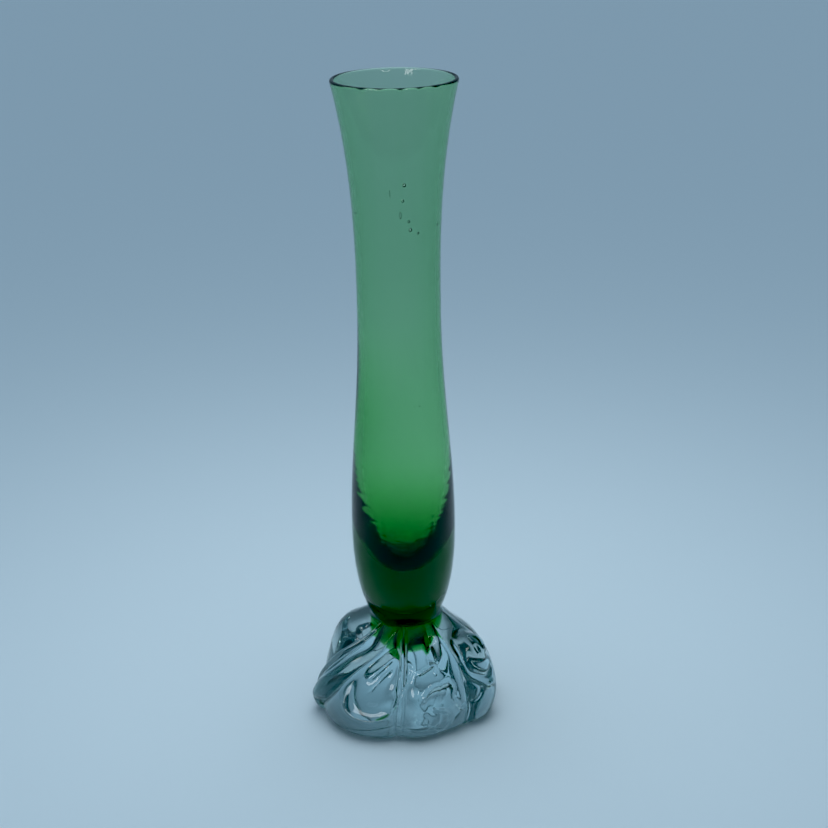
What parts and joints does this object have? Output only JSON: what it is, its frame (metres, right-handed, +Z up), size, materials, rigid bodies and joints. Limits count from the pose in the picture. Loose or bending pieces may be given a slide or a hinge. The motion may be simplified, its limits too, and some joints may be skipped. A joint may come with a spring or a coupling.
{
  "type": "glass bud vase",
  "caption": "Slender blown green glass bud vase with a flared rim and a thick base, standing on a clear glass foot tooled into swirled lobes.",
  "frame": {"origin": "centre of the foot's ground base, on the surface that the vase stands on", "axes": "+Z up along the vessel's axis; +Y away from the viewer of the usual front, +X to their right"},
  "size_m": [0.059, 0.0577, 0.2],
  "materials": {
    "green_glass": "fire-polished, transparent green, darker where it is thick",
    "clear_glass": "fire-polished, clear, with tooled folds; ground flat underneath"
  },
  "bodies": {
    "root": {"vessel": "green_glass", "foot": "clear_glass"}
  },
  "joints": []
}
